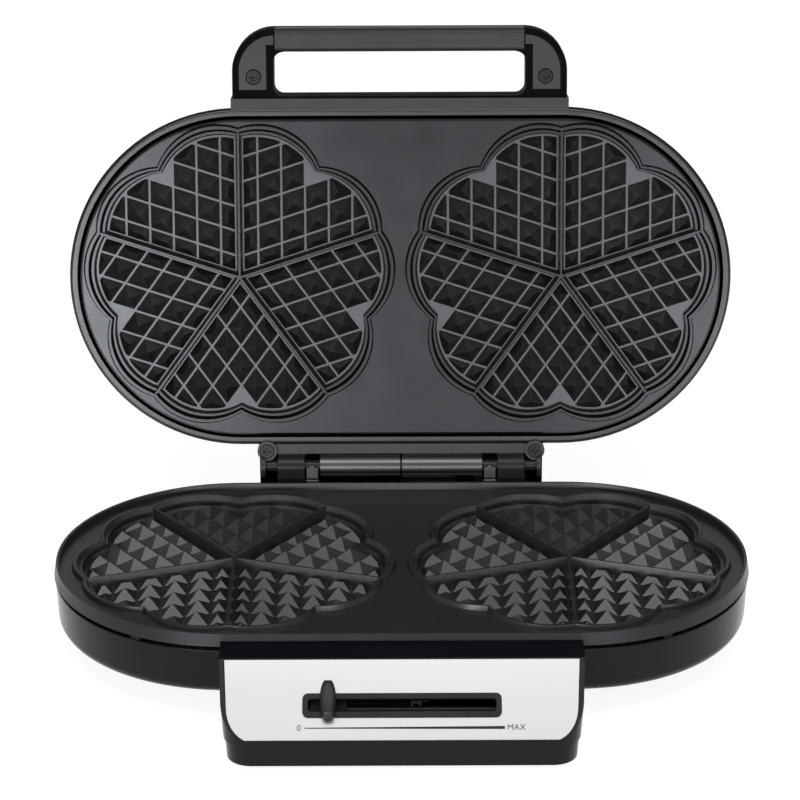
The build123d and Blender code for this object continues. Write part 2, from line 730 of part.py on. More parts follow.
def handle_grip():
    """Front cover of the grip, between the two side covers."""
    piece = block(-grip_edge + cover_fit, grip_edge - cover_fit, -handle_reach, -grip_inner,
                  handle_face_z - grip_swell, handle_face_z + grip_cover)
    return fillet(piece.edges().filter_by(Axis.X).group_by(Axis.Z)[0], grip_round)


def handle_side_covers():
    covers = handle_cover_pocket(cover_fit, handle_face_z + 0.5, handle_face_z + cover_depth)
    cuts = []
    for side in (-1, 1):
        x = side * handle_screw_x
        cuts.append(post(x, -handle_screw_y, handle_face_z, handle_face_z + 4, screw_radius + 0.1))
        cuts.append(post(x, -handle_screw_y, handle_face_z, handle_face_z + 1.7, screw_head_radius + 0.1))
    return covers.cut(*cuts).solids()


def handle_screws():
    x = handle_screw_x
    return both_sides(screw(x, -handle_screw_y, handle_face_z + 1.7, handle_face_z + 11, head_radius=3.5))


handle_bolt_x = 76.0
handle_bolt_z = 70.0


def handle_bolt_cuts(radius):
    y = -outer_radius + 4
    return [Pos(side * handle_bolt_x, y, handle_bolt_z) * Rot(90, 0, 0) * Cylinder(radius, 16) for side in (-1, 1)]


def handle_bolts():
    """Screws from inside the lid wall into the root of the handle."""
    rise = handle_bolt_z - lid_rim_z
    front = outer_radius - lid_set_back
    seat = front - (rise + screw_head_radius) * tan(radians(lid_draft)) - wall - 0.1
    bolt = Pos(handle_bolt_x, -seat, handle_bolt_z) * Rot(90, 0, 0) * screw(0, 0, 0, 10.0)
    return both_sides(bolt)


# Control console
slope = radians(slope_angle)
slope_down = (0, -cos(slope), -sin(slope))
slope_out = (0, -sin(slope), cos(slope))


def slope_plane(down=0.0, out=0.0):
    """Plane on the sloping face: X as in the object, Y up the slope, Z out of it."""
    y = -slope_top_y + down * slope_down[1] + out * slope_out[1]
    z = console_top_z + down * slope_down[2] + out * slope_out[2]
    return Plane(origin=(0, y, z), x_dir=(1, 0, 0), z_dir=slope_out)


def console_prism(inset, top, bottom, front_inset=None):
    """Drafted block of the console in plan, before the slope is cut."""
    width = console_half_width - inset
    front = console_front - (inset if front_inset is None else front_inset)
    corner = console_corner - inset
    rear = console_rear + inset
    points = [(-width, -rear), (-width, -front), (width, -front), (width, -rear)]
    face = make_face(FilletPolyline(*points, radius=[0, corner, corner, 0], close=True))
    return Pos(0, 0, top) * extrude(face, amount=-(top - bottom), taper=console_draft)


def above_slope(out):
    """Everything beyond the sloping face, moved outwards by the given amount."""
    tall = REACH / 2
    return slope_plane(0, out) * Pos(0, 0, tall / 2) * Box(REACH, REACH, tall)


def slope_slab(edge, out0, out1):
    """Slab over the sloping face, from one edge of it to the other."""
    length = (console_front - slope_top_y) / (cos(slope) + sin(slope) * tan(radians(console_draft)))
    place = slope_plane(0, (out0 + out1) / 2) * Pos(0, -length / 2, 0)
    return place * Box(REACH, length - 2 * edge, out1 - out0)


def slope_box(x0, x1, down0, down1, out0, out1):
    """Box in the axes of the sloping face, measured from the slot's centre line."""
    place = slope_plane(slot_down_slope) * Pos((x0 + x1) / 2, -(down0 + down1) / 2, (out0 + out1) / 2)
    return place * Box(abs(x1 - x0), abs(down1 - down0), abs(out1 - out0))


def slope_slot(half_length, height, out0, out1):
    """Round-cornered bar in the axes of the sloping face, centred on the slot."""
    sketch = RectangleRounded(2 * half_length, height, height * 0.24)
    return slope_plane(slot_down_slope, out0) * extrude(sketch, amount=out1 - out0)


guide_depth = 6.5             # guide rod behind the sloping face
guide_block = 4.0


def console_bolt_cuts(radius):
    y = -outer_radius + 1
    return [Pos(side * console_bolt_x, y, console_bolt_z) * Rot(90, 0, 0) * Cylinder(radius, 14) for side in (-1, 1)]


console_bolt_x = 70.0
console_bolt_z = 30.0


def console_housing():
    upper = console_prism(0, console_top_z, console_lip_z)
    lower = console_prism(console_step, console_top_z, console_bottom_z)
    outside = union([upper, lower]).cut(above_slope(0))
    inside = console_prism(wall + console_step, console_top_z - wall, console_bottom_z - 1).cut(above_slope(-wall))
    shell = outside.cut(inside)
    pieces = [shell]
    for side in (-1, 1):
        x = side * console_bolt_x
        pieces.append(block(x - 6, x + side * 16, -outer_radius - 12, -outer_radius + 4, console_bolt_z - 6, console_bolt_z + 6)
                      & console_prism(0.5, console_top_z, console_bottom_z))
        x0 = side * (guide_half_length - guide_block)
        ear = slope_box(x0, side * (guide_half_length + 3), -5, 5, -wall + 0.5 - 8.5, -wall + 0.5)
        pieces.append(ear & console_prism(0.5, console_top_z, console_bottom_z))
    shell = union(pieces)
    recess = console_prism(fascia_inset, console_top_z + 2, console_bottom_z - 1, 0.0) & slope_slab(
        fascia_edge, fascia_proud - fascia_thickness, fascia_proud + 3)
    slot = slope_slot(slot_half_length + 1.2, slot_height + 2.4, -wall - 1, 1)
    rod = slope_plane(slot_down_slope, -guide_depth) * Rot(0, 90, 0) * Cylinder(guide_radius + held_fit, 2 * guide_half_length)
    plate_edge = outer_radius + plate_skirt_out + 0.3
    skirt_room = racetrack([(0, base_rim_z), (plate_edge, base_rim_z), (plate_edge, console_top_z + 10), (0, console_top_z + 10)])
    return shell.cut(recess, slot, rod, base_envelope(console_top_z + 10), skirt_room, *console_bolt_cuts(screw_hole))


def console_bolts():
    """Screws from inside the base wall into the console."""
    rise = base_rim_z - console_bolt_z
    inside = outer_radius - rise * tan(radians(base_draft)) - wall
    bolt = Pos(console_bolt_x, -inside + 0.3, console_bolt_z) * Rot(90, 0, 0) * screw(0, 0, 0, 9.0)
    return both_sides(bolt)


def console_bottom_cover():
    cover = console_prism(wall + console_step + 0.2, console_top_z, console_bottom_z)
    cover = cover & block(-REACH, REACH, -REACH, REACH, console_bottom_z, console_bottom_z + cover_sheet)
    holes = [post(x, y, console_bottom_z - 1, console_bottom_z + 3, 1.6) for x, y in cover_screw_places()]
    return cover.cut(base_envelope(console_top_z), *holes)


cover_sheet = 2.0


def cover_screw_places():
    return [(side * 72.0, y) for side in (-1, 1) for y in (-96.0, -126.0)]


def fascia_plate():
    slab = slope_slab(fascia_edge + 0.1, fascia_proud - fascia_thickness, fascia_proud)
    plate = console_prism(fascia_inset + 0.1, console_top_z + 2, console_bottom_z, 0.1) & slab
    return plate.cut(slope_slot(slot_half_length + 1.3, slot_height + 2.6, -4, 4))


def slot_bezel():
    flange = slope_slot(bezel_half_length, bezel_height, fascia_proud, fascia_proud + bezel_proud)
    neck = slope_slot(slot_half_length + 1.1, slot_height + 2.2, -wall, fascia_proud + 0.1)
    opening = slope_slot(slot_half_length, slot_height, -wall - 1, fascia_proud + bezel_proud + 1)
    return union([flange, neck]).cut(opening)


# Heat control, drawn with the knob at the low end of the slot
rest_x = -travel / 2


def slider_knob():
    half = knob_width / 2
    tip = knob_tip_width / 2
    long = knob_length / 2
    shoulder = long * 0.55
    points = [(tip, long), (-tip, long), (-half, shoulder), (-half, -shoulder), (-tip, -long), (tip, -long),
              (half, -shoulder), (half, shoulder)]
    foot = fascia_proud + bezel_proud + knob_gap
    base = slope_plane(slot_down_slope, foot)
    body = base * extrude(make_face(Polyline(*points, close=True)), amount=knob_height, taper=4)
    stem = slope_box(-knob_stem / 2, knob_stem / 2, -knob_stem / 2, knob_stem / 2, -carriage_out, foot + 1)
    return Pos(rest_x, 0, 0) * union([body, stem])


carriage_out = 3.4            # carriage behind the sloping face
carriage_in = 9.4
rack_half_length = 39.5


def slider_carriage():
    """Slide on the guide rod with the rack that turns the thermostat."""
    slide = slope_box(-9.0, 9.0, -4.5, 4.5, -carriage_in, -carriage_out)
    root = rack_pitch_y - gear_module * 1.25
    arm_front = root - 4.0
    arm = block(-rack_half_length, rack_half_length, arm_front, root, gear_z, gear_z + gear_thickness)
    pitch = pi * gear_module
    tip_y = rack_pitch_y + gear_module * 0.9
    half_root = pitch / 4 + gear_module * 1.25 * tan(radians(20)) - backlash
    half_tip = pitch / 4 - gear_module * 0.9 * tan(radians(20)) - backlash
    teeth = []
    for k in range(rack_teeth):
        x = (k - (rack_teeth - 1) / 2) * pitch
        outline = Polyline((x - half_root, root - 0.2), (x + half_root, root - 0.2), (x + half_tip, tip_y),
                           (x - half_tip, tip_y), close=True)
        teeth.append(Pos(0, 0, gear_z) * extrude(make_face(outline), amount=gear_thickness))
    carriage = union([slide, arm] + teeth)
    rod = slope_plane(slot_down_slope, -guide_depth) * Rot(0, 90, 0) * Cylinder(guide_radius + running_fit, REACH)
    return Pos(rest_x, 0, 0) * carriage.cut(rod)


def slider_guide_rod():
    length = 2 * guide_half_length - 0.4
    return slope_plane(slot_down_slope, -guide_depth) * Rot(0, 90, 0) * Cylinder(guide_radius, length)


def thermostat_pinion():
    """Gear on the thermostat spindle, in mesh with the rack."""
    tip_r = gear_radius + gear_module * 0.9
    root_r = gear_radius - gear_module * 1.25
    half_root = 360 / gear_teeth / 4 * 1.4
    half_tip = 360 / gear_teeth / 4 * 0.45
    # the rack shows a tooth gap or a tooth at the mesh point; the gear is turned to match it
    shift = (rest_x / (pi * gear_module) + (rack_teeth - 1) / 2) % 1.0
    start = -90 + (0.5 + shift) * 360 / gear_teeth
    points = []
    for k in range(gear_teeth):
        centre = start + k * 360 / gear_teeth
        for radius, angle in ((root_r, -half_root), (tip_r, -half_tip), (tip_r, half_tip), (root_r, half_root)):
            turn = radians(centre + angle)
            points.append((radius * cos(turn), radius * sin(turn)))
    gear = extrude(make_face(Polyline(*points, close=True)), amount=gear_thickness)
    bore = Pos(0, 0, gear_thickness / 2) * Cylinder(spindle_radius, 2 * gear_thickness)
    return Pos(0, gear_y, gear_z) * (gear - bore)


spindle_top_z = 31.0
body_low_z = 29.0
tab_low_z = plate_back_z - 1.2
tab_half_width = 8.0
thermostat_screw_y = -outer_radius + 18.3
thermostat_radius = 8.4


def thermostat_spindle():
    return post(0, gear_y, gear_z - 1.5, spindle_top_z, spindle_radius)


def thermostat_body():
    body = post(0, gear_y, body_low_z, tab_low_z, thermostat_radius)
    socket = post(0, gear_y, body_low_z - 1, spindle_top_z + 0.2, spindle_radius + running_fit)
    return body - socket


def thermostat_tab():
    """Heat-conducting tab that hangs the thermostat under the lower plate."""
    front = gear_y - thermostat_radius + 2
    tab = block(-tab_half_width, tab_half_width, front, thermostat_screw_y + 6, tab_low_z, plate_back_z)
    return tab - post(0, thermostat_screw_y, tab_low_z - 1, plate_back_z + 1, 1.6)


def thermostat_screw():
    return screw(0, thermostat_screw_y, tab_low_z, plate_back_z + 1.5, head_radius=2.8, radius=1.3)


def on_lid(piece):
    """Turn a piece of the closed lid up to where it rests when open."""
    axis = Axis((0, hinge_y, hinge_z), (1, 0, 0))
    if isinstance(piece, (list, ShapeList)):
        return [solid.rotate(axis, -open_angle) for solid in piece]
    return piece.rotate(axis, -open_angle)


BASE_PIECES = [base_housing, lower_cooking_plate, lower_heating_element, lower_reflector,
               lower_plate_screws, plate_spacers, lower_thermal_fuse, terminal_block, cord_gland, feet,
               base_hinge_bracket, hinge_bracket_screws, hinge_side_blocks, hinge_pin, hinge_clips,
               console_housing, console_bolts, console_bottom_cover, fascia_plate, slot_bezel,
               slider_guide_rod, slider_knob, slider_carriage, thermostat_pinion, thermostat_spindle,
               thermostat_body, thermostat_tab, thermostat_screw]
LID_PIECES = [lid_housing, upper_cooking_plate, upper_heating_element, upper_reflector, upper_plate_screws,
              upper_reflector_screws, upper_thermal_fuse, lid_hinge_bracket, lid_hinge_screws, handle_frame, handle_grip,
              handle_side_covers, handle_screws, handle_bolts]

os.makedirs("parts", exist_ok=True)
for make in BASE_PIECES + LID_PIECES:
    made = make()
    if make in LID_PIECES:
        made = on_lid(made)
    pieces = made if isinstance(made, list) else [made]
    solids = [Pos(0, -middle_y, 0) * solid for piece in pieces for solid in piece.solids()]
    export_step(solids[0] if len(solids) == 1 else Compound(children=solids), f"parts/{make.__name__}.step")
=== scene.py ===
import json
import math

import bmesh
import bpy
from mathutils import Matrix, Vector


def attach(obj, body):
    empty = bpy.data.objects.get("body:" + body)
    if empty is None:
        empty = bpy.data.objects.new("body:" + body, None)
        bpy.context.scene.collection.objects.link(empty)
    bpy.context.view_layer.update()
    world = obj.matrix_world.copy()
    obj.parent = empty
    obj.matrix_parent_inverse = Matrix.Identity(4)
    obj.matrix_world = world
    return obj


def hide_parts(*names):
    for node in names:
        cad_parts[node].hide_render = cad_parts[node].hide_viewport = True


# Looks of a double heart waffle maker standing open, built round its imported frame.
# Metres, X along the hinge to the viewer's right, the front at -Y, Z up.

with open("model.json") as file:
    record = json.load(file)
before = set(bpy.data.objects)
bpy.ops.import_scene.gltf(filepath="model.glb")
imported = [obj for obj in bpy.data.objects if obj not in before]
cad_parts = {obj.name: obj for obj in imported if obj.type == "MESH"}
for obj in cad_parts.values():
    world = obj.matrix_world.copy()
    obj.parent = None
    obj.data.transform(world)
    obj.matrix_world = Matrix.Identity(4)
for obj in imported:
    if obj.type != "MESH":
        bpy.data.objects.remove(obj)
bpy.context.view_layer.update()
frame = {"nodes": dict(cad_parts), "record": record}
nodes = frame["nodes"]
scene = bpy.context.scene
MM = 0.001

# Places shared with the frame, in millimetres. Y is measured from the waffle centre line,
# and the lid's pieces are given as they lie with the lid shut.
MIDDLE_Y = 16.2               # the frame's origin lies this far behind the waffle centre line
HINGE_Y = 102.0
HINGE_Z = 53.3
OPEN_TURN = math.radians(-101.5)
SLOPE = math.radians(44.5)    # lean of the console's face
SLOPE_TOP_Y = 109.0           # its upper edge, in front of the waffle centre line
SLOPE_TOP_Z = 45.5
FASCIA_OUT = 0.2              # how far the fascia's face stands out of the slope


def base_matrix():
    """Turns the base's millimetres into the frame's metres."""
    return Matrix.Scale(MM, 4) @ Matrix.Translation((0, -MIDDLE_Y, 0))


def lid_matrix():
    """Turns the shut lid's millimetres into the frame's metres with the lid open."""
    pivot = Matrix.Translation((0, HINGE_Y, HINGE_Z))
    return base_matrix() @ pivot @ Matrix.Rotation(OPEN_TURN, 4, "X") @ pivot.inverted()


def slope_matrix(down=0.0, out=0.0):
    """Frame of the console's face: X as the object's, Y up the slope, Z out of it."""
    place = Matrix.Translation((0, -SLOPE_TOP_Y, SLOPE_TOP_Z))
    lean = Matrix.Rotation(SLOPE, 4, "X")
    return base_matrix() @ place @ lean @ Matrix.Translation((0, -down, out))


# Materials

NOISE_LOW, NOISE_HIGH = 0.3, 0.7                          # the part of a noise that is used
MIX_FACTOR, MIX_DARK, MIX_LIGHT, MIX_RESULT = 0, 6, 7, 2  # colour sockets of a mix node


def new_material(name):
    material = bpy.data.materials.new(name)
    material.use_nodes = True
    tree = material.node_tree
    return material, tree, tree.nodes["Principled BSDF"]


def coordinates(tree, stretch):
    """Object coordinates, scaled along each axis."""
    where = tree.nodes.new("ShaderNodeTexCoord")
    mapping = tree.nodes.new("ShaderNodeMapping")
    mapping.inputs["Scale"].default_value = stretch
    tree.links.new(where.outputs["Object"], mapping.inputs["Vector"])
    return mapping.outputs["Vector"]


def noise(tree, vector, scale, detail=4.0):
    node = tree.nodes.new("ShaderNodeTexNoise")
    node.inputs["Scale"].default_value = scale
    node.inputs["Detail"].default_value = detail
    tree.links.new(vector, node.inputs["Vector"])
    return node.outputs["Fac"]


def spread(tree, value, low, high):
    """Maps the middle of a noise to a range."""
    node = tree.nodes.new("ShaderNodeMapRange")
    node.inputs["From Min"].default_value = NOISE_LOW
    node.inputs["From Max"].default_value = NOISE_HIGH
    node.inputs["To Min"].default_value = low
    node.inputs["To Max"].default_value = high
    tree.links.new(value, node.inputs["Value"])
    return node.outputs["Result"]


def surface(name, colour, rough, metal=0.0, specular=0.5, coat=0.0, coat_rough=0.1,
            mottle=0.08, mottle_scale=40.0, rough_spread=0.05, rough_scale=60.0,
            bump=0.1, bump_scale=900.0, bump_depth=0.00004,
            stretch=(1, 1, 1), tint=(1, 1, 1, 1)):
    """Plastic or metal with slightly uneven colour and gloss and a fine surface grain."""
    material, tree, shader = new_material(name)
    vector = coordinates(tree, stretch)
    mix = tree.nodes.new("ShaderNodeMix")
    mix.data_type = "RGBA"
    mix.inputs[MIX_DARK].default_value = [c * (1 - mottle) for c in colour] + [1.0]
    mix.inputs[MIX_LIGHT].default_value = [min(1.0, c * (1 + mottle)) for c in colour] + [1.0]
    patchy = spread(tree, noise(tree, vector, mottle_scale), 0.0, 1.0)
    tree.links.new(patchy, mix.inputs[MIX_FACTOR])
    tree.links.new(mix.outputs[MIX_RESULT], shader.inputs["Base Color"])
    gloss = spread(tree, noise(tree, vector, rough_scale),
                   rough - rough_spread, rough + rough_spread)
    tree.links.new(gloss, shader.inputs["Roughness"])
    grain = tree.nodes.new("ShaderNodeBump")
    grain.inputs["Strength"].default_value = bump
    grain.inputs["Distance"].default_value = bump_depth
    tree.links.new(noise(tree, vector, bump_scale, 2.0), grain.inputs["Height"])
    tree.links.new(grain.outputs["Normal"], shader.inputs["Normal"])
    shader.inputs["Metallic"].default_value = metal
    shader.inputs["Specular IOR Level"].default_value = specular
    shader.inputs["Specular Tint"].default_value = tint
    shader.inputs["Coat Weight"].default_value = coat
    shader.inputs["Coat Roughness"].default_value = coat_rough
    return material


# What several finishes share: moulded gloss, the plates' cast coating, the handle's grain
MOULDED = {"mottle": 0.05, "rough_spread": 0.02, "bump": 0.04, "bump_scale": 300.0}
CAST = {"bump_scale": 1500.0, "bump_depth": 0.000008, "tint": (0.9, 0.94, 1.0, 1.0)}
GRAINED = {"mottle": 0.06, "bump": 0.3, "bump_scale": 1200.0}

housing = surface("housing_gloss", (0.0035, 0.0042, 0.006), 0.2, specular=0.2, **MOULDED)
rim_grey = surface("rim_grey", (0.014, 0.0142, 0.015), 0.3, specular=0.8, **MOULDED)
# Painted shade: the console's bottom cover is a darker, less glossy copy of the housing's
# plastic, so that it reflects less of the floor, as if that floor lay in shade.
console_low_painted_shade = surface("console_gloss_painted_shade", (0.003, 0.003, 0.004), 0.18, specular=0.15, **MOULDED)
plate_low = surface("plate_lower", (0.011, 0.0112, 0.0125), 0.38, specular=1.0,
                    coat=0.4, coat_rough=0.3, mottle=0.15, rough_spread=0.04,
                    bump=0.3, **CAST)
plate_up = surface("plate_upper", (0.0085, 0.0087, 0.0098), 0.24, specular=0.65,
                   mottle=0.06, rough_spread=0.02, bump=0.3, **CAST)
# Painted shadow: the spacers are drawn matte black so that the gap round the plates reads as
# shade.
shadow_gap = surface("spacer_painted_shadow_gap", (0.004, 0.004, 0.004), 0.6, specular=0.2)
steel_heater = surface("heater_tube", (0.22, 0.21, 0.2), 0.45, metal=1.0, mottle=0.2)
sheet_metal = surface("reflector_sheet", (0.6, 0.6, 0.6), 0.35, metal=1.0, mottle=0.05)
screw_metal = surface("screw_plating", (0.035, 0.035, 0.037), 0.3, metal=1.0, mottle=0.1)
hinge_paint = surface("hinge_paint", (0.012, 0.012, 0.013), 0.32, specular=0.4,
                      mottle=0.1, bump=0.15)
barrel_metal = surface("barrel_metal", (0.16, 0.16, 0.165), 0.28, metal=1.0,
                       mottle=0.12, stretch=(0.2, 1, 1))
clip_steel = surface("clip_steel", (0.35, 0.35, 0.355), 0.35, metal=1.0)
pin_metal = surface("pin_steel", (0.03, 0.03, 0.032), 0.35, metal=0.5)
rubber = surface("rubber", (0.012, 0.012, 0.012), 0.7, bump=0.4)
silver = surface("fascia_silver", (0.52, 0.52, 0.53), 0.32, metal=1.0,
                 mottle=0.01, mottle_scale=25.0, rough_spread=0.02, rough_scale=25.0,
                 bump=0.05, bump_scale=500.0, stretch=(0.05, 1, 1))
control = surface("control_plastic", (0.012, 0.012, 0.013), 0.4, bump=0.2)
slot_black = surface("slot_plastic", (0.005, 0.005, 0.0055), 0.3, specular=0.25, bump=0.2)
slot_inside = surface("carriage_plastic", (0.004, 0.004, 0.004), 0.55, specular=0.2, bump=0.2)
handle_body = surface("handle_plastic", (0.02, 0.0203, 0.022), 0.45, **GRAINED)
handle_dark = surface("handle_cover", (0.02, 0.0203, 0.022), 0.42, **GRAINED)
nylon = surface("nylon", (0.7, 0.69, 0.66), 0.5)
ceramic = surface("terminal_plastic", (0.62, 0.6, 0.55), 0.5)
printed = surface("scale_print", (0.012, 0.012, 0.012), 0.45, specular=0.3, bump=0.05)

# Finishes of parts of a node, and copies of finishes that carry painted shade or painted
# highlight
plate_side = surface("plate_side", (0.008, 0.008, 0.009), 0.35, specular=0.4,
                     mottle=0.1, bump=0.2, **CAST)
# Painted highlight: the floor between the upper plate's pyramids and their rounded crests are
# drawn lighter and glossier than the plate.
plate_painted_highlight = surface("plate_painted_highlight", (0.05, 0.051, 0.053), 0.3, specular=0.9,
                       mottle=0.08, rough_spread=0.02, bump=0.3, **CAST)
# Painted shade: the steep sides of the upper plate's beads and ridges are drawn nearly black,
# with little gloss.
bead_side_painted_shade = surface("bead_side_painted_shade", (0.002, 0.002, 0.0024), 0.4, specular=0.12, mottle=0.06)
# Painted shade: the tilted faces of the upper plate, mostly its pyramids' sides, get a darker,
# rougher copy of the plate's coating.
plate_flank_painted_shade = surface("plate_flank_painted_shade", (0.0062, 0.0064, 0.0072), 0.38, specular=0.72,
                      mottle=0.12, rough_spread=0.04, bump=0.3, **CAST)
# Painted highlight: a glossier copy of the handle frame's plastic, used only on its rounded
# edges so that they catch a light line.
trim_edge_painted_highlight = surface("trim_edge_painted_highlight", (0.01, 0.01, 0.011), 0.3, specular=0.7, mottle=0.06)
# Darker black trim and painted shade: the frame beside its flange, and the inner faces of the
# opening, have their reflections all but taken away so that they stay dark.
handle_trim_painted_shade = surface("handle_trim_painted_shade", (0.004, 0.004, 0.005), 0.6, specular=0.02, mottle=0.06)
strip_metal = surface("strip_metal", (0.015, 0.0152, 0.017), 0.4, specular=0.6, mottle=0.1)
ring_metal = surface("ring_metal", (0.28, 0.28, 0.285), 0.35, metal=0.9, mottle=0.1)

MATERIALS = {
    housing: ["base_housing", "lid_housing", "console_housing"],
    console_low_painted_shade: ["console_bottom_cover"],
    plate_low: ["lower_cooking_plate"],
    plate_up: ["upper_cooking_plate"],
    shadow_gap: ["plate_spacers"],
    steel_heater: ["lower_heating_element", "upper_heating_element"],
    sheet_metal: ["lower_reflector", "upper_reflector", "thermostat_body", "thermostat_tab",
                  "thermostat_spindle"],
    screw_metal: ["lower_plate_screws", "hinge_bracket_screws", "console_bolts",
                  "upper_plate_screws", "upper_reflector_screws", "lid_hinge_screws",
                  "handle_screws", "handle_bolts", "thermostat_screw"],
    hinge_paint: ["hinge_side_blocks"],
    barrel_metal: ["base_hinge_bracket", "lid_hinge_bracket"],
    clip_steel: ["hinge_clips"],
    pin_metal: ["hinge_pin", "slider_guide_rod"],
    rubber: ["feet", "cord_gland"],
    silver: ["fascia_plate"],
    slot_black: ["slot_bezel"],
    control: ["slider_knob"],
    slot_inside: ["slider_carriage"],
    handle_body: ["handle_frame", "handle_grip"],
    handle_dark: ["handle_side_covers"],
    nylon: ["thermostat_pinion"],
    ceramic: ["terminal_block", "lower_thermal_fuse", "upper_thermal_fuse"],
}
for material, names in MATERIALS.items():
    for name in names:
        for slot in nodes[name].material_slots:
            slot.material = material


# Shapes shared by the pieces

def prism(shape, points, z0, z1):
    """Upright prism over a plan outline."""
    low = [shape.verts.new((x, y, z0)) for x, y in points]
    high = [shape.verts.new((x, y, z1)) for x, y in points]
    shape.faces.new(low[::-1])
    shape.faces.new(high)
    join_rings(shape, low, high)


def join_rings(shape, low, high):
    """Wall between two rings of as many corners."""
    for i in range(len(low)):
        j = (i + 1) % len(low)
        shape.faces.new((low[i], low[j], high[j], high[i]))


# Dressed copies: the visible nodes with small rounded edges and crisp flat faces

# Width in millimetres of the rounding on each of these nodes
EDGES = {
    "base_housing": 0.3,
    "lid_housing": 0.25,
    "console_housing": 0.8,
    "console_bottom_cover": 0.3,
    "lower_cooking_plate": 0.35,
    "upper_cooking_plate": 0.22,
    "fascia_plate": 0.12,
    "slot_bezel": 0.2,
    "slider_carriage": 0.1,
    "handle_frame": 0.7,
    "handle_grip": 0.2,
    "handle_side_covers": 0.25,
    "handle_screws": 0.1,
    "lid_hinge_screws": 0.1,
    "base_hinge_bracket": 0.2,
    "lid_hinge_bracket": 0.2,
    "hinge_side_blocks": 0.25,
    "hinge_clips": 0.15,
    "hinge_pin": 0.2,
    "feet": 0.3,
}
CORNER = math.radians(27)         # an edge that bends more than this is rounded
PLATE_CORNER = math.radians(16)
SHARP = math.radians(50)          # an edge that bends more than this is shaded as sharp
PLATE_SHARP = math.radians(26)
FLAT = math.radians(0.3)          # faces that bend less than this are joined
SAME_PLACE = 0.000002             # corners nearer than this, in metres, are one
BEVEL_STEPS = 2
NORMAL_WEIGHT = 80                # how much a large face rules the shading of its edges

BODY_OF = {name: body for body, members in frame["record"]["behaviour"]["bodies"].items()
           for name in members}

# Recessed screws: the middle of one head's face in the shut lid; the other is mirrored
RECESSES = {"handle_screws": (76.2, -104.9, 54.8), "lid_hinge_screws": (71.1, 93.7, 50.5)}
RECESS_ARM = 2.1
RECESS_HALF_WIDTH = 0.5
RECESS_DEPTH = 1.4
RECESS_START = 1.0                # the cutter begins this far in front of the face


def own_matrix(name):
    """Turns the millimetres in which a node is given into the frame's metres."""
    return lid_matrix() if BODY_OF[name] == "lid" else base_matrix()


def cross_cutter(x, y, face_z):
    """Plus-shaped cutter for the recess of a screw head that faces down in the shut lid."""
    arm, half = RECESS_ARM, RECESS_HALF_WIDTH
    outline = [(half, arm), (-half, arm), (-half, half), (-arm, half), (-arm, -half),
               (-half, -half), (-half, -arm), (half, -arm), (half, -half), (arm, -half),
               (arm, half), (half, half)]
    shape = bmesh.new()
    prism(shape, [(x + a, y + b) for a, b in outline],
          face_z - RECESS_START, face_z + RECESS_DEPTH)
    bmesh.ops.transform(shape, matrix=lid_matrix(), verts=shape.verts)
    bmesh.ops.recalc_face_normals(shape, faces=shape.faces)
    data = bpy.data.meshes.new("cutter")
    shape.to_mesh(data)
    shape.free()
    cutter = bpy.data.objects.new("cutter", data)
    scene.collection.objects.link(cutter)
    return cutter


def carve(data, cutters):
    """The mesh with every cutter taken out of it."""
    solid = bpy.data.objects.new("carved", data)
    scene.collection.objects.link(solid)
    for cutter in cutters:
        cut = solid.modifiers.new("cut", "BOOLEAN")
        cut.operation = "DIFFERENCE"
        cut.solver = "EXACT"
        cut.object = cutter
    bpy.context.view_layer.update()
    depsgraph = bpy.context.evaluated_depsgraph_get()
    result = bpy.data.meshes.new_from_object(solid.evaluated_get(depsgraph))
    for thing in [solid] + cutters:
        bpy.data.objects.remove(thing)
    return result


# Tests for the parts of a node that look different: other finishes, painted shade or painted
# highlight. Each takes a face's middle, in the node's own millimetres, and its direction. The
# lid's plate and rim face down when shut.

END_X = 84.5                      # middle of the rounded ends
LIP_RADIUS = 89.9                 # outer side of the lower plate's lip begins here
FLANGE_Y = -94.0                  # the handle's frame in front of its flange
TRIM_Z = 60.0                     # lower edges of the handle's frame
RIM_Z = 54.2                      # the lid's rim lies below this
GROOVE_Z = 54.4                   # floor between the upper plate's pyramids lies above this
CREST_LOW_Z, CREST_HIGH_Z = 51.0, 54.5
BEAD_Z = 51.15                    # the upper plate's beads and ridges stand below this
BARREL_RADIUS = 6.5
BARREL_END_X = 60.0
BOSS_X, BOSS_Y, BOSS_Z = 65.0, 92.0, 53.2


def on_plate_side(place, normal):
    """Outer side of the lower plate's upstanding lip."""
    out = math.hypot(max(abs(place.x) - END_X, 0.0), place.y)
    return out > LIP_RADIUS and abs(normal.z) < 0.7


def off_flange(place, normal):
    """The handle's frame apart from its flange on the lid, drawn as darker trim with painted
    shade.
    """
    return place.y < FLANGE_Y


def trim_corner(place, normal):
    """Rounded edges of the handle's frame towards the viewer, which get a glossier copy of its
    plastic as a painted highlight.
    """
    return off_flange(place, normal) and place.z < TRIM_Z and -0.93 < normal.z < -0.3


def groove(place, normal):
    """The narrow floor between the pyramids of the upper plate, which gets a painted
    highlight.
    """
    return place.z > GROOVE_Z and normal.z < -0.99


def crest(place, normal):
    """Rounded edges of the pyramids of the upper plate, which get a painted highlight."""
    return CREST_LOW_Z < place.z < CREST_HIGH_Z and -0.96 < normal.z < -0.762


def bead_flank(place, normal):
    """Steep sides of the beads and ridges of the upper plate, which get painted shade."""
    return place.z < BEAD_Z and normal.z > -0.6


def tilted(place, normal):
    """All other faces of the upper plate that aren't level, mostly its pyramids' sides, which
    get painted shade.
    """
    return normal.z > -0.975


def lid_rim(place, normal):
    """The flat rim of the lid round its plate."""
    return place.z < RIM_Z and normal.z < -0.8


def boss_ring(place, normal):
    """Front of the bosses round the lid's hinge screws."""
    return abs(place.x) > BOSS_X and place.z < BOSS_Z and place.y < BOSS_Y


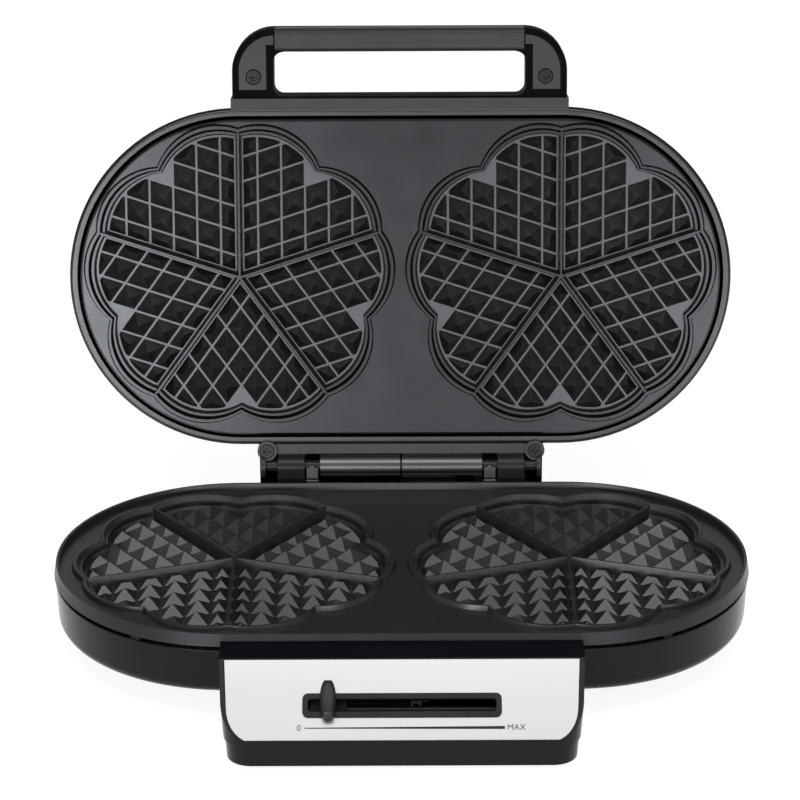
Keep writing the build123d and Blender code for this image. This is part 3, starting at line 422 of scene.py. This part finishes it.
def off_barrel(place, normal):
    """The lid's hinge strip, bosses and cheeks, but not its barrel."""
    out = math.hypot(place.y - HINGE_Y, place.z - HINGE_Z)
    return out > BARREL_RADIUS or abs(place.x) > BARREL_END_X


# The tests of each node, in the order in which they are tried, with their finishes, painted
# shade and painted highlights
PATCHES = {
    "lower_cooking_plate": [(on_plate_side, plate_side)],
    "upper_cooking_plate": [(groove, plate_painted_highlight), (crest, plate_painted_highlight),
                            (bead_flank, bead_side_painted_shade), (tilted, plate_flank_painted_shade)],
    "lid_housing": [(lid_rim, rim_grey)],
    "handle_frame": [(trim_corner, trim_edge_painted_highlight), (off_flange, handle_trim_painted_shade)],
    "lid_hinge_bracket": [(boss_ring, ring_metal), (off_barrel, strip_metal)],
}


def round_edges(shape, radius, corner):
    """Joins the facets of flat faces and rounds the edges that bend enough."""
    bmesh.ops.dissolve_limit(shape, angle_limit=FLAT, verts=shape.verts, edges=shape.edges)
    corners = [edge for edge in shape.edges
               if len(edge.link_faces) == 2 and edge.calc_face_angle(0.0) > corner]
    bmesh.ops.bevel(shape, geom=corners, offset=radius * MM, offset_type="OFFSET",
                    segments=BEVEL_STEPS, profile=0.5, affect="EDGES", clamp_overlap=True)
    shape.normal_update()


def mark_patches(name, shape):
    """Gives each face the number of the first test that it meets, or else 0."""
    to_own = own_matrix(name).inverted()
    turn = own_matrix(name).to_3x3().inverted()
    for face in shape.faces:
        face.smooth = True
        face.material_index = 0
        place = to_own @ face.calc_center_median()
        normal = (turn @ face.normal).normalized()
        for number, (test, finish_or_painted_light) in enumerate(PATCHES.get(name, []), 1):
            if test(place, normal):
                face.material_index = number
                break


def dress(name, radius):
    """Makes a copy of a node, with rounded edges and its patches, that stands for it."""
    source = nodes[name]
    plate = name.endswith("cooking_plate")
    shape = bmesh.new()
    shape.from_mesh(source.data)
    bmesh.ops.remove_doubles(shape, verts=shape.verts, dist=SAME_PLACE)
    if name in RECESSES:
        x, y, z = RECESSES[name]
        whole = bpy.data.meshes.new("whole")
        shape.to_mesh(whole)
        carved = carve(whole, [cross_cutter(x, y, z), cross_cutter(-x, y, z)])
        shape.clear()
        shape.from_mesh(carved)
    round_edges(shape, radius, PLATE_CORNER if plate else CORNER)
    mark_patches(name, shape)
    data = bpy.data.meshes.new(name + "_dressed")
    shape.to_mesh(data)
    shape.free()
    data.materials.append(source.material_slots[0].material)
    for test, finish_or_painted_light in PATCHES.get(name, []):
        data.materials.append(finish_or_painted_light)
    copy = bpy.data.objects.new(name + "_dressed", data)
    scene.collection.objects.link(copy)
    data.set_sharp_from_angle(angle=PLATE_SHARP if plate else SHARP)
    weighted = copy.modifiers.new("face_weight", "WEIGHTED_NORMAL")
    weighted.keep_sharp = True
    weighted.weight = NORMAL_WEIGHT
    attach(copy, BODY_OF[name])
    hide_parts(name)


for name, radius in EDGES.items():
    dress(name, radius)


# Pieces that only the looks have

def piece(name, mesh_data, material, body):
    thing = bpy.data.objects.new(name, mesh_data)
    scene.collection.objects.link(thing)
    thing.data.materials.clear()
    thing.data.materials.append(material)
    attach(thing, body)
    return thing


def from_bmesh(name, build, matrix, material, body, smooth=True):
    """A piece whose shape is drawn by a function and placed by a matrix."""
    shape = bmesh.new()
    build(shape)
    bmesh.ops.transform(shape, matrix=matrix, verts=shape.verts)
    bmesh.ops.recalc_face_normals(shape, faces=shape.faces)
    data = bpy.data.meshes.new(name)
    shape.to_mesh(data)
    shape.free()
    for polygon in data.polygons:
        polygon.use_smooth = smooth
    return piece(name, data, material, body)


# Heat scale on the fascia: a long wedge that grows to the right, with its two end marks
SCALE_DOWN = 34.8
WEDGE_THICKNESS = 0.03
WEDGE = [(-46.2, -0.22), (48.6, -0.75), (48.6, 0.75), (-46.2, 0.22)]
MARKS = [("mark_low", "0", -49.9), ("mark_high", "MAX", 49.6)]     # with their left edges
MARK_SIZE = 4.1
MARK_HALF_THICKNESS = 0.015
MARK_OUT = 0.02


def wedge(shape):
    prism(shape, WEDGE, 0.0, WEDGE_THICKNESS)


def mark(name, text, x):
    """Raised letters on the fascia, from Blender's own font."""
    curve = bpy.data.curves.new(name, "FONT")
    curve.body = text
    curve.size = MARK_SIZE
    curve.extrude = MARK_HALF_THICKNESS
    curve.align_x = "LEFT"
    curve.align_y = "CENTER"
    maker = bpy.data.objects.new(name + "_maker", curve)
    scene.collection.objects.link(maker)
    bpy.context.view_layer.update()
    depsgraph = bpy.context.evaluated_depsgraph_get()
    data = bpy.data.meshes.new_from_object(maker.evaluated_get(depsgraph))
    bpy.data.objects.remove(maker)
    data.transform(slope_matrix(SCALE_DOWN, FASCIA_OUT) @ Matrix.Translation((x, 0, MARK_OUT)))
    piece(name, data, printed, "base")


from_bmesh("scale_wedge", wedge, slope_matrix(SCALE_DOWN, FASCIA_OUT), printed,
           "base", smooth=False)
for name, text, x in MARKS:
    mark(name, text, x)


# Knob: a spindle-shaped grip with a rounded top on its stem
KNOB_X = -35.1
KNOB_DOWN = 21.8
KNOB_HALF_LENGTH = 9.3
KNOB_HALF_WIDTH = 3.9
KNOB_END = 0.52               # width of the ends against the middle
KNOB_CURVE = 2.2              # how late the sides curve in
KNOB_CORNER = 0.88            # the last points of a side are drawn in to this
KNOB_LENGTH_IN = 2.2          # how much more the ends are drawn in than the sides
KNOB_STEPS = 16
KNOB_RINGS = [(1.6, 0.97), (2.2, 1.0), (4.6, 1.0), (6.2, 0.94), (7.1, 0.82), (7.5, 0.66)]
STEM = [(-2.0, -3.0), (2.0, -3.0), (2.0, 0.6), (-2.0, 0.6)]
STEM_LOW, STEM_HIGH = -8.0, 1.8


def spindle(scale):
    """Outline of the knob, drawn in a little by the scale."""
    drawn_in = KNOB_HALF_WIDTH * (1 - scale)
    points = []
    for side in (1, -1):
        for i in range(KNOB_STEPS + 1):
            along = side * (2.0 * i / KNOB_STEPS - 1.0)
            width = KNOB_HALF_WIDTH * (1.0 - (1.0 - KNOB_END) * abs(along) ** KNOB_CURVE)
            corner = KNOB_CORNER if abs(along) > 0.99 else 1.0
            points.append((side * (width * corner - drawn_in),
                           along * (KNOB_HALF_LENGTH - KNOB_LENGTH_IN * drawn_in)))
    return points


def knob(shape):
    rings = [[shape.verts.new((x, y, out)) for x, y in spindle(scale)]
             for out, scale in KNOB_RINGS]
    for low, high in zip(rings, rings[1:]):
        join_rings(shape, low, high)
    shape.faces.new(rings[0][::-1])
    shape.faces.new(rings[-1])
    prism(shape, STEM, STEM_LOW, STEM_HIGH)


grip = from_bmesh("knob_grip", knob,
                  slope_matrix(KNOB_DOWN) @ Matrix.Translation((KNOB_X, 0, 0)),
                  control, "heat_slider")
grip.data.set_sharp_from_angle(angle=SHARP)
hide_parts("slider_knob")


# Camera, floor and light

CAMERA_PLACE = (-0.00043, -1.5859, 0.7861)
CAMERA_LENS = 154.2
CAMERA_TILT = math.radians(67.42)
CAMERA_ROLL = math.radians(-0.22)
FLOOR_REACH = 12.0
FLOOR_GLOW = 0.9              # the floor as the camera and reflections see it, before shadows
FLOOR_SHADE = 0.3             # the part of it that takes shadows
WORLD_STRENGTH = 0.3

# Name, place, the point it faces, width, height, brightness, shown in reflections
LAMPS = [
    ("overhead_front", (0.0, -0.66, 1.48), (0, -0.05, 0.1), 1.6, 0.6, 2.2, True),
    ("low_left", (-0.77, -2.0, 0.21), (-0.3, 0.1, 0.15), 1.0, 0.4, 11.0, True),
    ("low_right", (0.8, -2.0, 0.21), (0.3, 0.1, 0.15), 1.0, 0.4, 6.0, True),
    ("fill", (0.0, -1.6, 1.6), (0, 0, 0.12), 1.5, 1.0, 2.2, False),
]


def place_camera():
    data = bpy.data.cameras.new("camera")
    data.sensor_width = 36.0
    data.lens = CAMERA_LENS
    data.clip_end = 50.0
    camera = bpy.data.objects.new("camera", data)
    camera.matrix_world = (Matrix.Translation(CAMERA_PLACE)
                           @ Matrix.Rotation(CAMERA_TILT, 4, "X")
                           @ Matrix.Rotation(CAMERA_ROLL, 4, "Z"))
    scene.collection.objects.link(camera)
    scene.camera = camera


def maximum(tree, first, second):
    node = tree.nodes.new("ShaderNodeMath")
    node.operation = "MAXIMUM"
    tree.links.new(first, node.inputs[0])
    tree.links.new(second, node.inputs[1])
    return node.outputs[0]


def place_floor():
    """Pale floor that shows as white with a soft shadow."""
    far = FLOOR_REACH
    data = bpy.data.meshes.new("floor")
    data.from_pydata([(-far, -far, 0), (far, -far, 0), (far, far, 0), (-far, far, 0)], [],
                     [(0, 1, 2, 3)])
    floor = bpy.data.objects.new("floor", data)
    scene.collection.objects.link(floor)
    material, tree, shader = new_material("floor_white")
    shader.inputs["Base Color"].default_value = (0.8, 0.8, 0.8, 1)
    shader.inputs["Roughness"].default_value = 0.9
    shader.inputs["Specular IOR Level"].default_value = 0.1
    glow = tree.nodes.new("ShaderNodeEmission")
    glow.inputs["Color"].default_value = (1, 1, 1, 1)
    glow.inputs["Strength"].default_value = FLOOR_GLOW
    shade = tree.nodes.new("ShaderNodeBsdfDiffuse")
    shade.inputs["Color"].default_value = (FLOOR_SHADE, FLOOR_SHADE, FLOOR_SHADE, 1)
    seen = tree.nodes.new("ShaderNodeAddShader")
    tree.links.new(glow.outputs[0], seen.inputs[0])
    tree.links.new(shade.outputs[0], seen.inputs[1])
    path = tree.nodes.new("ShaderNodeLightPath").outputs
    shown = maximum(tree, maximum(tree, path["Is Camera Ray"], path["Is Glossy Ray"]),
                    path["Is Transmission Ray"])
    mix = tree.nodes.new("ShaderNodeMixShader")
    tree.links.new(shown, mix.inputs[0])
    tree.links.new(shader.outputs[0], mix.inputs[1])
    tree.links.new(seen.outputs[0], mix.inputs[2])
    tree.links.new(mix.outputs[0], tree.nodes["Material Output"].inputs["Surface"])
    data.materials.append(material)


def place_world():
    world = bpy.data.worlds.new("studio")
    scene.world = world
    world.use_nodes = True
    back = world.node_tree.nodes["Background"]
    back.inputs["Color"].default_value = (1, 1, 1, 1)
    back.inputs["Strength"].default_value = WORLD_STRENGTH


def softbox(name, place, target, width, height, brightness, gloss):
    """Area lamp whose face has the given brightness, where 1 is white."""
    data = bpy.data.lights.new(name, "AREA")
    data.shape = "RECTANGLE"
    data.size = width
    data.size_y = height
    data.energy = brightness * math.pi * width * height
    lamp = bpy.data.objects.new(name, data)
    lamp.location = place
    direction = Vector(target) - Vector(place)
    lamp.rotation_euler = direction.to_track_quat("-Z", "Y").to_euler()
    lamp.visible_glossy = gloss
    scene.collection.objects.link(lamp)


place_camera()
place_floor()
place_world()
for lamp in LAMPS:
    softbox(*lamp)
scene.view_settings.view_transform = "Standard"
